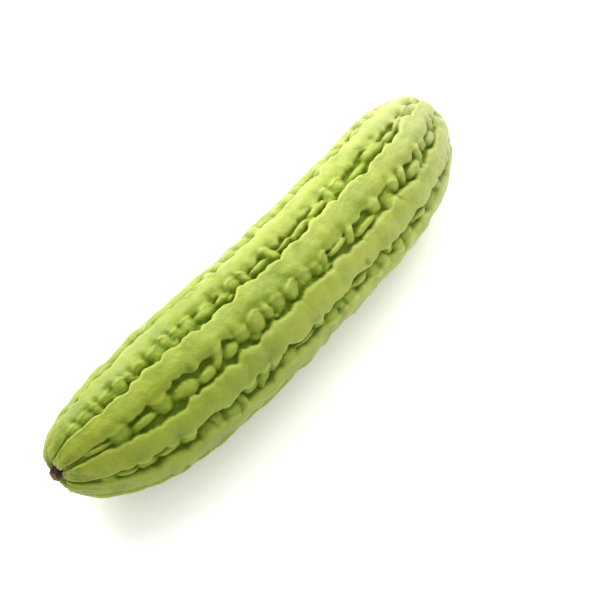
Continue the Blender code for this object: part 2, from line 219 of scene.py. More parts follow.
@dataclass
class Ridges:
    """The ten smooth ridges, with crests, lobed edges and shoulders."""

    angle: Array = field(default_factory=lambda: np.radians(
        [22, 62, 101.5, 142, 182, 217, 252, 288, 320, 351]))
    half: Array = field(default_factory=lambda: np.radians(
        [13.6, 13.8, 14.2, 14.0, 13.6, 11.6, 12.2, 12.2, 10.6, 10.6]))
    fall_low: tuple[float, ...] = (5.0, 5.0, 9.0, 3.4, 5.0, 4.5, 5.0, 4.5, 5.0, 4.5)
    fall_high: tuple[float, ...] = (2.6, 2.1, 3.0, 5.0, 4.0, 5.0, 4.5, 5.0, 4.5, 5.0)
    sway: float = math.radians(1.2)
    sway_spans: Span = (90 * MM, 47 * MM)
    crown: float = 0.3 * MM
    crown_limit: float = 0.4
    lip: float = 0.5 * MM
    lip_place: Span = (0.80, 0.16)
    lip_falls: Span = (2.5, 4.5)
    roll: float = 0.4 * MM
    roll_spans: tuple[float, float, float] = (41 * MM, 23 * MM, 13 * MM)
    edge_waves: tuple[tuple[float, Span], ...] = (
        (0.14, (104 * MM, 63 * MM)), (0.22, (24 * MM, 16 * MM)), (0.12, (11 * MM, 7.4 * MM)))
    wide_station: float = 88 * MM
    wide_reach: float = 40 * MM
    wide_share: dict[tuple[int, int], float] = field(default_factory=lambda: {(2, 1): 0.25, (3, -1): 0.15})
    tip_half: float = math.radians(17.5)
    stalk_swell: Span = (14 * MM, 54 * MM)
    blossom_swell: Span = (9 * MM, 35 * MM)


@dataclass
class Warts:
    """Sizes of the long warts, the lobes and the beads that fill the valleys, and of the notches."""

    root_share: tuple[float, ...] = (0.5, 0.80, 0.75, 0.5, 0.7, 0.4, 0.5, 0.6, 0.4, 0.5)
    root_change: float = 0.55
    start: float = 22 * MM
    end: float = 15 * MM
    power: float = 2.3
    drop_limits: Span = (0.15 * MM, 3.2 * MM)
    overlap: float = 0.90
    long_share: float = 0.25
    long_along: Span = (4.6 * MM, 8.5 * MM)
    long_across: Span = (0.30, 0.42)
    long_least: float = 1.5 * MM
    long_place: Span = (0.35, 0.62)
    long_turn: float = 0.22
    long_drop: Span = (0.5 * MM, 1.5 * MM)
    lobe_along: Span = (2.6 * MM, 5.6 * MM)
    lobe_root: float = 5.2 * MM
    lobe_root_power: float = 2.6
    lobe_reach: Span = (0.84, 1.10)
    lobe_turn: Span = (-0.15, 0.55)
    lobe_drop: Span = (0.4 * MM, 1.5 * MM)
    lobe_tilt: Span = (0.10, 0.28)
    bead_share: float = 0.35
    bead_size: Span = (1.4 * MM, 2.7 * MM)
    bead_stretch: Span = (0.9, 1.6)
    bead_drop: Span = (1.5 * MM, 2.9 * MM)
    bead_stray: float = 1.5 * MM
    notch_share: float = 0.7
    notch_inset: float = 0.3 * MM
    notch_along: Span = (0.9 * MM, 1.6 * MM)
    notch_across: Span = (1.4 * MM, 2.6 * MM)
    notch_depth: Span = (0.7 * MM, 1.9 * MM)


@dataclass
class Wart:
    """One wart: a steep-sided cushion in a valley. Root is the sign of its ridge's side, or 0."""

    s: float
    a: float
    along: float
    across: float
    turn: float
    drop: float
    tilt: float = 0.0
    root: int = 0


@dataclass
class Notch:
    """A small hollow in a ridge's edge, between two lobes."""

    s: float
    a: float
    along: float
    across: float
    depth: float


@dataclass
class Relief:
    """Ridges, valleys and warts of the fruit, as a height over its smooth outline."""

    end: float
    radius: float
    ridges: Ridges = field(default_factory=Ridges)
    sizes: Warts = field(default_factory=Warts)
    depth: float = 4.8 * MM
    stalk_depth_share: float = 0.30
    stalk_shallow: Span = (6 * MM, 54 * MM)
    blossom_depth_share: float = 0.35
    blossom_shallow: Span = (5 * MM, 31 * MM)
    least_gap: float = 2.5 * MM
    least_valley: float = math.radians(1.5)
    blend: float = 2.4 / MM
    strays: tuple[Span, Span] = ((1.15 * MM, 8 * MM), (0.5 * MM, 3.4 * MM))
    wart_margin: float = 2 * MM
    wart_reach: float = 1.05
    notch_reach: float = 3
    stalk_pit_depth: float = 4.5 * MM
    stalk_pit_reach: float = 7.2 * MM
    blossom_pit_depth: float = 2.5 * MM
    blossom_pit_reach: float = 5 * MM
    seed: int = 11

    def __post_init__(self) -> None:
        """Draw the waves of the ridges, and the warts and notches of every valley."""
        self.count = len(self.ridges.angle)
        rng = np.random.default_rng(self.seed)
        self.phase = rng.uniform(0, 2 * np.pi, (self.count, 17))
        self.warts: list[Wart] = []
        self.notches: list[Notch] = []
        for i in range(self.count):
            self.fill_valley(i, rng)

    def ridge_centre(self, i: int, s: Array) -> Array:
        """Angle of ridge i at station s, with a slow sway."""
        return self.ridges.angle[i] + self.ridges.sway * wave(s, self.phase[i, :2], self.ridges.sway_spans)

    def ridge_half(self, i: int, s: Array, side: Side) -> Array:
        """Half width of ridge i on one side: its own, times a lobed share that closes at the tips."""
        ridges = self.ridges
        phases = self.phase[i, 2:8] if side is Side.LOW else self.phase[i, 8:14]
        share = 1
        for k, (size, spans) in enumerate(ridges.edge_waves):
            form = wave if k == 0 else scallops
            share = share + size * form(s, phases[2 * k:2 * k + 2], spans)
        give = ridges.wide_share.get((i, side.value), 0)
        share = share - give * np.exp(-((s - ridges.wide_station) / ridges.wide_reach) ** 2)
        open_share = ease_between(s, ridges.stalk_swell) * ease_between(self.end - s, ridges.blossom_swell)
        return ridges.half[i] * share * open_share + ridges.tip_half * (1 - open_share)

    def valley(self, i: int, s: float) -> tuple[float, float, float]:
        """Angles of both edges, and the width, of the valley after ridge i at station s."""
        after = (i + 1) % self.count
        turn = 2 * np.pi if after == 0 else 0
        low = self.ridge_centre(i, s) + self.ridge_half(i, s, Side.HIGH)
        high = self.ridge_centre(after, s) + turn - self.ridge_half(after, s, Side.LOW)
        return low, high, max((high - low) * self.radius, self.least_gap)

    def ridge_edge(self, i: int, s: Array, side: Side) -> Array:
        """Angle of an edge of ridge i, kept a little short of the neighbour's edge near the tips."""
        sign = side.value
        other = (i + sign) % self.count
        facing = Side.LOW if side is Side.HIGH else Side.HIGH
        turn = 2 * np.pi * sign if abs(other - i) > 1 else 0
        mine = self.ridge_centre(i, s) + sign * self.ridge_half(i, s, side)
        theirs = self.ridge_centre(other, s) + turn - sign * self.ridge_half(other, s, facing)
        lack = np.maximum(self.least_valley - sign * (theirs - mine), 0)
        return mine - sign * lack / 2

    def fill_valley(self, i: int, rng: np.random.Generator) -> None:
        """Add the warts and the notches of the valley after ridge i, from the stalk tip on.

        Each next wart is a long one that lies down the valley, or a lobe that grows out of the ridge
        on one side. Some are followed by a notch in that ridge's edge, and some by a bead at the
        valley's other edge.

        Args:
            i: Number of the ridge before the valley.
            rng: Seeded source of the draws.
        """
        sizes, draw = self.sizes, rng.uniform
        s = sizes.start + draw(0, sizes.long_along[0])
        side = 1 if draw() < sizes.root_share[i] else -1
        while s < self.end - sizes.end:
            low, high, gap = self.valley(i, s + sizes.lobe_along[0])
            if draw() < sizes.root_change:
                side = 1 if draw() < sizes.root_share[i] else -1
            edge, other_edge = (low, high) if side > 0 else (high, low)
            if draw() < sizes.long_share:
                along = draw(*sizes.long_along)
                across = max(draw(*sizes.long_across) * gap, sizes.long_least)
                offset = draw(*sizes.long_place) * gap
                turn = draw(-sizes.long_turn, sizes.long_turn)
                drop, tilt, root = draw(*sizes.long_drop), 0.0, 0
            else:
                along = draw(*sizes.lobe_along)
                reach = draw(*sizes.lobe_reach) * gap
                across = (sizes.lobe_root + reach) / 2
                offset = (reach - sizes.lobe_root) / 2
                turn = side * draw(*sizes.lobe_turn)
                drop = draw(*sizes.lobe_drop)
                tilt, root = side * draw(*sizes.lobe_tilt), side
            s += along * sizes.overlap
            place = edge + side * offset / self.radius
            self.warts.append(Wart(s, place, along, across, turn, drop, tilt, root))
            s += along * sizes.overlap
            if draw() < sizes.notch_share:
                place = edge - side * sizes.notch_inset / self.radius
                self.notches.append(Notch(s, place, draw(*sizes.notch_along), draw(*sizes.notch_across),
                                          draw(*sizes.notch_depth)))
            if draw() < sizes.bead_share:
                size = draw(*sizes.bead_size)
                place = other_edge - side * size / 2 / self.radius
                self.warts.append(Wart(s + draw(-sizes.bead_stray, sizes.bead_stray), place,
                                       size * draw(*sizes.bead_stretch), size,
                                       draw(-1, 1), draw(*sizes.bead_drop)))

    def floor_depth(self, s: Array) -> Array:
        """Depth of the valley floor: full along the body and shallow at both tips."""
        stalk = ease_between(s, self.stalk_shallow)
        blossom = ease_between(self.end - s, self.blossom_shallow)
        stalk = self.stalk_depth_share + (1 - self.stalk_depth_share) * stalk
        blossom = self.blossom_depth_share + (1 - self.blossom_depth_share) * blossom
        return self.depth * stalk * blossom

    def ridge_height(self, i: int, s: Array, a: Array, depth: Array) -> tuple:
        """Height of ridge i alone: a crowned top, raised lips by square shoulders, and where it lies."""
        ridges = self.ridges
        away = turn_between(a, self.ridge_centre(i, s))
        low = away < 0
        half = np.where(low, self.ridge_half(i, s, Side.LOW), self.ridge_half(i, s, Side.HIGH))
        fall = np.where(low, ridges.fall_low[i], ridges.fall_high[i])
        q = np.clip(np.abs(away) / half, 0, 1)
        crown = np.minimum(ridges.crown * q ** 2, ridges.crown_limit * depth)
        square = np.clip((fall - ridges.lip_falls[0]) / (ridges.lip_falls[1] - ridges.lip_falls[0]), 0, 1)
        lip = ridges.lip * square * np.exp(-((q - ridges.lip_place[0]) / ridges.lip_place[1]) ** 2)
        roll = ridges.roll * wave(s, self.phase[i, 14:17], ridges.roll_spans)
        return -depth + (depth - crown + lip + roll) * np.sqrt(1 - q ** fall), q < 1

    def wart_height(self, wart: Wart, s: Array, a: Array, radius: Array,
                    depth: Array) -> tuple:
        """Height of one wart alone: a superellipse in plan with round sides, and where it lies.

        A lobe stays high towards its root, so that it leaves its ridge without a step.
        """
        power = self.sizes.power
        ds = s - wart.s
        da = turn_between(a, wart.a) * radius
        c, n = math.cos(wart.turn), math.sin(wart.turn)
        u = np.abs(c * ds + n * da) / wart.along
        v = c * da - n * ds
        v_share = np.clip(np.abs(v) / wart.across, 0, 2)
        v_share = np.where(v * wart.root < 0, v_share ** self.sizes.lobe_root_power, v_share)
        q = np.clip((u ** power + v_share ** power) ** (1 / power), 0, 1)
        drop = np.clip(wart.drop + wart.tilt * v, *self.sizes.drop_limits) * depth / self.depth
        return -depth + (depth - drop) * np.sqrt(1 - q ** power), q < 1

    def notch_depths(self, stations: Array, s: Array, a: Array, radius: Array,
                     depth: Array) -> Array:
        """Sum of the notches, each a round Gaussian hollow, over rows at the given stations."""
        total = np.zeros_like(s)
        for notch in self.notches:
            rows = np.abs(stations - notch.s) < self.notch_reach * notch.along + self.wart_margin
            ds = (s[rows] - notch.s) / notch.along
            da = turn_between(a[rows], notch.a) * radius[rows] / notch.across
            total[rows] += notch.depth * np.exp(-ds ** 2 - da ** 2) * depth[rows] / self.depth
        return total

    def strayed(self, s: Array, a: Array, radius: Array) -> tuple[Array, Array]:
        """Station and angle moved by two sizes of smooth unevenness, which keeps forms from repeating."""
        girth = 2 * np.pi * self.radius
        calm = np.clip(radius / self.radius, 0, 1) ** 2
        ds, da = np.zeros_like(s), np.zeros_like(s)
        for k, (size, cell) in enumerate(self.strays):
            ds += size * patchwork(s, a, cell, girth, self.seed + 10 * k + 1)
            da += size * patchwork(s, a, cell, girth, self.seed + 10 * k + 2)
        return s + calm * ds, a + calm * da / self.radius

    def height(self, s: Array, a: Array, radius: Array) -> tuple[Array, Array]:
        """Height of the surface: the logarithm of a sum of exponentials of floor, ridges and warts.

        Args:
            s: Station of each point, equal along a row.
            a: Angle of each point.
            radius: Radius of the outline at each point.

        Returns:
            The height, and the share of it that belongs to warts.
        """
        depth = self.floor_depth(s)
        ws, wa = self.strayed(s, a, radius)
        notched = self.notch_depths(s[:, 0], ws, wa, radius, depth)
        floor = np.exp(-self.blend * depth)
        ridge_sum = floor.copy()
        wart_sum = np.zeros_like(floor)
        for i in range(self.count):
            h, on = self.ridge_height(i, ws, wa, depth)
            h = np.maximum(h - notched, -depth)
            ridge_sum += np.where(on, np.exp(self.blend * h) - floor, 0)
        for wart in self.warts:
            reach = self.wart_reach * max(wart.along, wart.across) + self.wart_margin
            rows = np.abs(s[:, 0] - wart.s) < reach
            h, on = self.wart_height(wart, ws[rows], wa[rows], radius[rows], depth[rows])
            wart_sum[rows] += np.where(on, np.exp(self.blend * h) - floor[rows], 0)
        h = np.log(ridge_sum + wart_sum) / self.blend
        h -= self.stalk_pit_depth * np.exp(-(s / self.stalk_pit_reach) ** 2)
        h -= self.blossom_pit_depth * np.exp(-((self.end - s) / self.blossom_pit_reach) ** 2)
        return h, wart_sum / (ridge_sum + wart_sum)


@dataclass
class FineRelief:
    """Unevenness that only the finished skin has: dimples, puckers, folds and fuller ridge lips."""

    dimple: float = 0.95 * MM
    dimple_cells: Span = (12 * MM, 5.6 * MM)
    dimple_shares: Span = (0.6, 0.4)
    ripple: float = 0.12 * MM
    ripple_cell: float = 2.6 * MM
    pucker: float = 0.9 * MM
    pucker_cell: float = 2.5 * MM
    pucker_level: float = 0.3
    pucker_valley: float = 1.4
    lip: float = 0.45 * MM
    lip_level: float = 0.3
    fold: float = 0.35 * MM
    fold_count: int = 34
    fold_rise: Span = (1 * MM, 6 * MM)
    fold_fade: Span = (6 * MM, 34 * MM)
    fold_sway: float = 0.35
    fold_sway_cell: float = 9 * MM
    seed: int = 31

    def height(self, s: Array, a: Array, valley: Array, radius: Array, full_radius: float) -> Array:
        """Added height: dimples, a fine ripple, puckered valleys, and folds that gather at the stalk."""
        cells = (*self.dimple_cells, self.ripple_cell, self.fold_sway_cell, self.pucker_cell)
        large, small, fine, sway, puckers = (patchwork(s, a, cell, 2 * np.pi * full_radius, self.seed + k)
                                             for k, cell in enumerate(cells))
        calm = np.clip(radius / full_radius, 0, 1) ** 2
        dimples = self.dimple_shares[0] * large + self.dimple_shares[1] * small
        puckers = ease(valley * self.pucker_valley) * (np.abs(puckers) - self.pucker_level)
        gather = ease_between(s, self.fold_rise) * (1 - ease_between(s, self.fold_fade))
        folds = gather * np.sin(self.fold_count * (a + self.fold_sway * sway))
        return calm * (self.dimple * dimples + self.ripple * fine + self.pucker * puckers) + self.fold * folds


# Finishes


class Graph:
    """Short-hand for adding and joining the nodes of a material or a node group."""

    def __init__(self, tree: bpy.types.NodeTree) -> None:
        """Start on a node tree."""
        self.tree = tree

    def node(self, kind: str, inputs: dict | None = None, **settings: object) -> bpy.types.Node:
        """Add a node.

        Args:
            kind: Blender's name for the node's type.
            inputs: Values, or output sockets to link, by the input's name or number.
            **settings: Properties of the node.

        Returns:
            The node.
        """
        node = self.tree.nodes.new(kind)
        for name, value in settings.items():
            setattr(node, name, value)
        self.feed(node, inputs or {})
        return node

    def feed(self, node: bpy.types.Node, inputs: dict) -> None:
        """Set a node's inputs to values, or link them to output sockets."""
        for key, value in inputs.items():
            if isinstance(value, Socket):
                self.tree.links.new(value, node.inputs[key])
            else:
                node.inputs[key].default_value = value

    def math(self, operation: str, a: object, b: object = 0.0, clamp: bool = False) -> Socket:
        """Output of a Math node."""
        return self.node("ShaderNodeMath", {0: a, 1: b}, operation=operation, use_clamp=clamp).outputs[0]

    def mix(self, share: object, a: object, b: object, blend: str = "MIX") -> Socket:
        """Colour mixed from a to b by share."""
        a, b = (colour if isinstance(colour, Socket) else (*colour, 1) for colour in (a, b))
        node = self.node("ShaderNodeMix", {0: share, 6: a, 7: b}, data_type="RGBA", blend_type=blend)
        return node.outputs[2]

    def tint(self, colour: object, mask: Socket, share: float, towards: object) -> Socket:
        """Colour carried towards another by a share of a mask."""
        return self.mix(self.math("MULTIPLY", mask, share), colour, towards)

    def remap(self, value: object, low: float, high: float, to_low: float = 0.0,
              to_high: float = 1.0) -> Socket:
        """Value carried smoothly from one range to another, and held inside it."""
        inputs = {0: value, 1: low, 2: high, 3: to_low, 4: to_high}
        return self.node("ShaderNodeMapRange", inputs, interpolation_type="SMOOTHSTEP").outputs[0]

    def effect(self, group: bpy.types.NodeTree, **values: object) -> Socket:
        """Mask of a shared effect, placed here with its own values."""
        return self.node("ShaderNodeGroup", values, node_tree=group).outputs["Mask"]

    def attribute(self, name: str) -> Socket:
        """Value that the mesh carries under that name."""
        return self.node("ShaderNodeAttribute", attribute_name=name, attribute_type="GEOMETRY").outputs["Fac"]

    def place(self) -> Socket:
        """Object coordinates."""
        return self.node("ShaderNodeTexCoord").outputs["Object"]


class SharedEffects:
    """Node groups that the skin and the stump both use."""

    def __init__(self) -> None:
        """Build the groups once."""
        self.mottle = self.build_mottle()
        self.specks = self.build_specks()

    @staticmethod
    def group(name: str, **values: float) -> tuple:
        """Empty group that takes a Vector and some values, and puts out a Mask.

        Args:
            name: Name of the group.
            **values: Starting value of each named input.

        Returns:
            The graph, its input node's outputs and its output node.
        """
        tree = bpy.data.node_groups.new(name, "ShaderNodeTree")
        tree.interface.new_socket("Vector", in_out="INPUT", socket_type="NodeSocketVector")
        for key, start in values.items():
            socket = tree.interface.new_socket(key, in_out="INPUT", socket_type="NodeSocketFloat")
            socket.default_value = start
        tree.interface.new_socket("Mask", in_out="OUTPUT", socket_type="NodeSocketFloat")
        graph = Graph(tree)
        return graph, graph.node("NodeGroupInput").outputs, graph.node("NodeGroupOutput")

    def build_mottle(self) -> bpy.types.NodeTree:
        """Soft cloudy mask: noise with its contrast raised round the middle."""
        graph, given, out = self.group("mottle", Scale=60.0, Detail=3.0, Contrast=2.0)
        noise = graph.node("ShaderNodeTexNoise", {key: given[key] for key in ("Vector", "Scale", "Detail")})
        centred = graph.math("SUBTRACT", noise.outputs[0], 0.5)
        raised = graph.math("MULTIPLY", centred, given["Contrast"])
        graph.feed(out, {"Mask": graph.math("ADD", raised, 0.5, clamp=True)})
        return graph.tree

    def build_specks(self) -> bpy.types.NodeTree:
        """Mask of scattered small round specks: the middles of some cells of a Voronoi pattern."""
        graph, given, out = self.group("specks", Scale=300.0, Size=0.25, Share=0.3)
        cells = graph.node("ShaderNodeTexVoronoi", {"Vector": given["Vector"], "Scale": given["Scale"]})
        draw = graph.node("ShaderNodeSeparateColor", {0: cells.outputs["Color"]}).outputs[0]
        chosen = graph.math("LESS_THAN", draw, given["Share"])
        size = graph.math("MULTIPLY", given["Size"], graph.math("ADD", draw, 0.6))
        near = graph.math("SUBTRACT", 1.0, graph.math("DIVIDE", cells.outputs["Distance"], size), clamp=True)
        soft = graph.math("POWER", near, 0.6)
        graph.feed(out, {"Mask": graph.math("MULTIPLY", soft, chosen, clamp=True)})
        return graph.tree


def new_material(name: str) -> tuple[bpy.types.Material, Graph, bpy.types.Node]:
    """Start a material, and return it with its graph and its Principled shader."""
    mat = bpy.data.materials.new(name)
    mat.use_nodes = True
    return mat, Graph(mat.node_tree), mat.node_tree.nodes["Principled BSDF"]


@dataclass(frozen=True)
class SkinFinish:
    """Waxy yellow-green skin: paler at the ridges' edges, greener in creases, browned at the stalk.

    Some light and shade is painted into the colour. The pale of the ridges' edges and raised bumps is
    partly paler skin and partly painted highlight. The dark green of creases and hollows is partly the
    skin's green and partly painted shade. The yellow of the underside is a painted glow of light
    bounced from the floor. The stalk half is darker and greener, partly deeper green skin and partly
    painted shade. The scars at both tips are brown, with painted shadow darkest in their pits.
    """

    crest: Colour = (0.255, 0.305, 0.014)
    crest_green: Colour = (0.105, 0.200, 0.001)
    # Pale: paler skin in patches and grain, and partly painted highlight on ridge edges and raised bumps.
    pale_and_highlight: Colour = (0.450, 0.500, 0.110)
    tip_pale: Colour = (0.390, 0.410, 0.180)
    wart: Colour = (0.175, 0.270, 0.003)
    # Crease colour: partly the skin's deeper green, partly painted shade in low places and hollows.
    crease_green_and_shade: Colour = (0.105, 0.180, 0.001)
    # Yellow: a painted glow of light bounced up from the floor onto the underside.
    yellow: Colour = (0.350, 0.375, 0.016)
    # Stalk tint: partly deeper green skin, partly painted shade over the stalk half.
    stalk_green_and_shade: Colour = (0.69, 0.73, 0.40)
    olive: Colour = (0.24, 0.185, 0.018)
    brown: Colour = (0.11, 0.050, 0.014)
    # Near black: painted shadow in the pits at the tips.
    pit_shadow: Colour = (0.035, 0.016, 0.007)
    floor_bounce_rise: Span = (32 * MM, 4 * MM)
    roughness: Span = (0.32, 0.48)
    specular: float = 0.22
    coat: float = 0.13
    subsurface: float = 0.03
    subsurface_scale: float = 2.0 * MM
    bump_depth: float = 1.0 * MM

    def material(self, effects: SharedEffects) -> bpy.types.Material:
        """Build the skin's material."""
        mat, graph, shader = new_material("melon_skin_fine")
        place = graph.place()
        crest, wart, edge, hollow, proud, stalk_end, stalk_half, blossom_end, scar_and_pit_shadow = map(graph.attribute, (
            "crest", "wart", "edge", "hollow", "proud", "stalk_end", "stalk_half", "blossom_end", "scar_and_pit_shadow"))
        cloud = graph.effect(effects.mottle, Vector=place, Scale=95.0, Detail=3.0, Contrast=4.5)
        patch = graph.effect(effects.mottle, Vector=place, Scale=230.0, Detail=4.0, Contrast=2.4)
        grain = graph.effect(effects.mottle, Vector=place, Scale=900.0, Detail=3.0, Contrast=2.0)
        # Low places of the relief; they take the crease colour, partly green skin and partly painted shade.
        low = graph.remap(crest, 0.70, 0.10)
        # Share towards the underside, which takes yellow as a painted glow of floor bounce.
        under = graph.remap(graph.node("ShaderNodeSeparateXYZ", {0: place}).outputs[2], *self.floor_bounce_rise)

        middle = graph.math("SUBTRACT", 1.0, edge)
        deep = graph.math("MULTIPLY", cloud, graph.math("ADD", graph.math("MULTIPLY", middle, 0.60), 0.30))
        colour = graph.mix(deep, self.crest, self.crest_green)
        # Patches and grain are the skin's own. The pale of edge and proud is partly paler skin, partly
        # painted highlight. The crease colour in low places and hollows is partly green skin, partly painted
        # shade. The yellow underneath is a painted glow of floor bounce.
        for mask, share, towards in (
                (patch, 0.28, self.pale_and_highlight), (wart, 0.5, self.wart), (edge, 0.72, self.pale_and_highlight),
                (proud, 0.45, self.pale_and_highlight), (blossom_end, 0.8, self.tip_pale), (low, 0.75, self.crease_green_and_shade),
                (hollow, 0.8, self.crease_green_and_shade), (under, 0.65, self.yellow), (grain, 0.18, self.pale_and_highlight)):
            colour = graph.tint(colour, mask, share, towards)
        # Darker and greener over the stalk half: partly deeper green skin, partly painted shade.
        colour = graph.mix(stalk_half, colour, self.stalk_green_and_shade, "MULTIPLY")

        blotch = graph.effect(effects.mottle, Vector=place, Scale=210.0, Detail=3.0, Contrast=3.0)
        blotch = graph.remap(graph.math("MULTIPLY", blotch, graph.math("POWER", stalk_end, 0.5)), 0.55, 1.0)
        colour = graph.tint(colour, blotch, 0.75, self.olive)
        dots = graph.effect(effects.specks, Vector=place, Scale=420.0, Size=0.34, Share=0.28)
        dots = graph.math("MULTIPLY", dots, graph.math("ADD", graph.math("MULTIPLY", stalk_end, 0.8), 0.05))
        colour = graph.mix(dots, colour, self.brown)
        # Brown of the dried scars, then near black towards the tips as painted shadow in the pits.
        colour = graph.mix(graph.remap(scar_and_pit_shadow, 0.0, 0.6), colour, self.brown)
        colour = graph.mix(graph.remap(scar_and_pit_shadow, 0.4, 1.0), colour, self.pit_shadow)

        pores = graph.node("ShaderNodeTexVoronoi", {"Vector": place, "Scale": 1500.0}).outputs["Distance"]
        uneven = graph.node("ShaderNodeTexNoise", {"Vector": place, "Scale": 330.0, "Detail": 4.0}).outputs[0]
        height = graph.math("ADD", graph.math("MULTIPLY", pores, 0.2), uneven)
        bump = graph.node("ShaderNodeBump", {"Strength": 0.65, "Distance": self.bump_depth, "Height": height})
        graph.feed(shader, {
            "Base Color": colour, "Roughness": graph.remap(patch, 0.0, 1.0, *self.roughness),
            "Normal": bump.outputs[0], "Coat Weight": graph.remap(crest, 0.4, 0.9, 0.0, self.coat),
            "Coat Roughness": 0.25, "IOR": 1.40, "Specular IOR Level": self.specular,
            "Subsurface Weight": self.subsurface, "Subsurface Radius": (1.0, 1.0, 0.2),
            "Subsurface Scale": self.subsurface_scale})
        return mat


@dataclass(frozen=True)
class DriedStalkFinish:
    """Dry brown stalk with paler, reddish fibres along its lit lower side; its upper side is near black,
    painted shadow under the rim of the pit.
    """

    # Near black: dark flecks, and painted shadow over the upper side.
    dark_fleck_and_shadow: Colour = (0.022, 0.011, 0.006)
    brown: Colour = (0.14, 0.060, 0.024)
    fibre: Colour = (0.40, 0.22, 0.095)
    roughness: Span = (0.72, 0.92)
    bump_depth: float = 0.6 * MM

    def material(self, effects: SharedEffects) -> bpy.types.Material:
        """Build the stump's material."""
        mat, graph, shader = new_material("dried_stalk_fine")
        place = graph.place()
        drawn_out = graph.node("ShaderNodeMapping", {"Vector": place, "Scale": (0.25, 1.0, 1.0)}).outputs[0]
        fibres = graph.effect(effects.mottle, Vector=drawn_out, Scale=1500.0, Detail=4.0, Contrast=4.0)
        cloud = graph.effect(effects.mottle, Vector=place, Scale=300.0, Detail=2.0, Contrast=3.0)
        flecks = graph.effect(effects.specks, Vector=place, Scale=900.0, Size=0.4, Share=0.25)
        # The lower side takes the lit brown and fibres; the upper side stays near black as painted shadow.
        lower = graph.attribute("lower_side")
        lit_tan = graph.math("MULTIPLY", graph.math("ADD", cloud, 0.4, clamp=True), lower)
        colour = graph.mix(lit_tan, self.dark_fleck_and_shadow, self.brown)
        colour = graph.tint(colour, graph.math("MULTIPLY", fibres, lower), 0.85, self.fibre)
        colour = graph.tint(colour, flecks, 0.5, self.dark_fleck_and_shadow)
        bump = graph.node("ShaderNodeBump", {"Strength": 0.8, "Distance": self.bump_depth, "Height": fibres})
        graph.feed(shader, {"Base Color": colour, "Roughness": graph.remap(cloud, 0.0, 1.0, *self.roughness),
                            "Normal": bump.outputs[0]})
        return mat


# Pieces


def mesh_object(name: str, points: Array, faces: list[Array]) -> Piece:
    """Object at the origin from points and faces.

    Args:
        name: Name of the object and its mesh.
        points: Positions, one to a row.
        faces: Arrays of vertex numbers, one face to a row.

    Returns:
        The object, linked to the scene and shaded smooth.
    """
    mesh = bpy.data.meshes.new(name)
    listed = [face for block in faces for face in block.tolist()]
    mesh.from_pydata(points.tolist(), [], listed)
    mesh.shade_smooth()
    obj = bpy.data.objects.new(name, mesh)
    bpy.context.scene.collection.objects.link(obj)
    return obj


def carry(obj: Piece, name: str, values: Array) -> None:
    """Let a mesh carry one value for each point, under the name that its material reads."""
    layer = obj.data.attributes.new(name, "FLOAT", "POINT")
    layer.data.foreach_set("value", values.astype(np.float32))


def ring_faces(rows: int, columns: int) -> list[Array]:
    """Faces of a closed surface made of rings and two poles, whose points are the last two.

    Args:
        rows: Number of rings, whose points come first, ring by ring.
        columns: Points in a ring.

    Returns:
        The quads between the rings, and the triangles at each pole.
    """
    j = np.arange(columns)
    after = (j + 1) % columns
    base = np.arange(rows - 1)[:, None] * columns
    quads = np.stack([base + j, base + after, base + columns + after, base + columns + j], axis=-1)
    pole, last_ring = rows * columns, (rows - 1) * columns
    first = np.stack([np.full(columns, pole), after, j], axis=-1)
    last = np.stack([np.full(columns, pole + 1), last_ring + j, last_ring + after], axis=-1)
    return [quads.reshape(-1, 4), first, last]


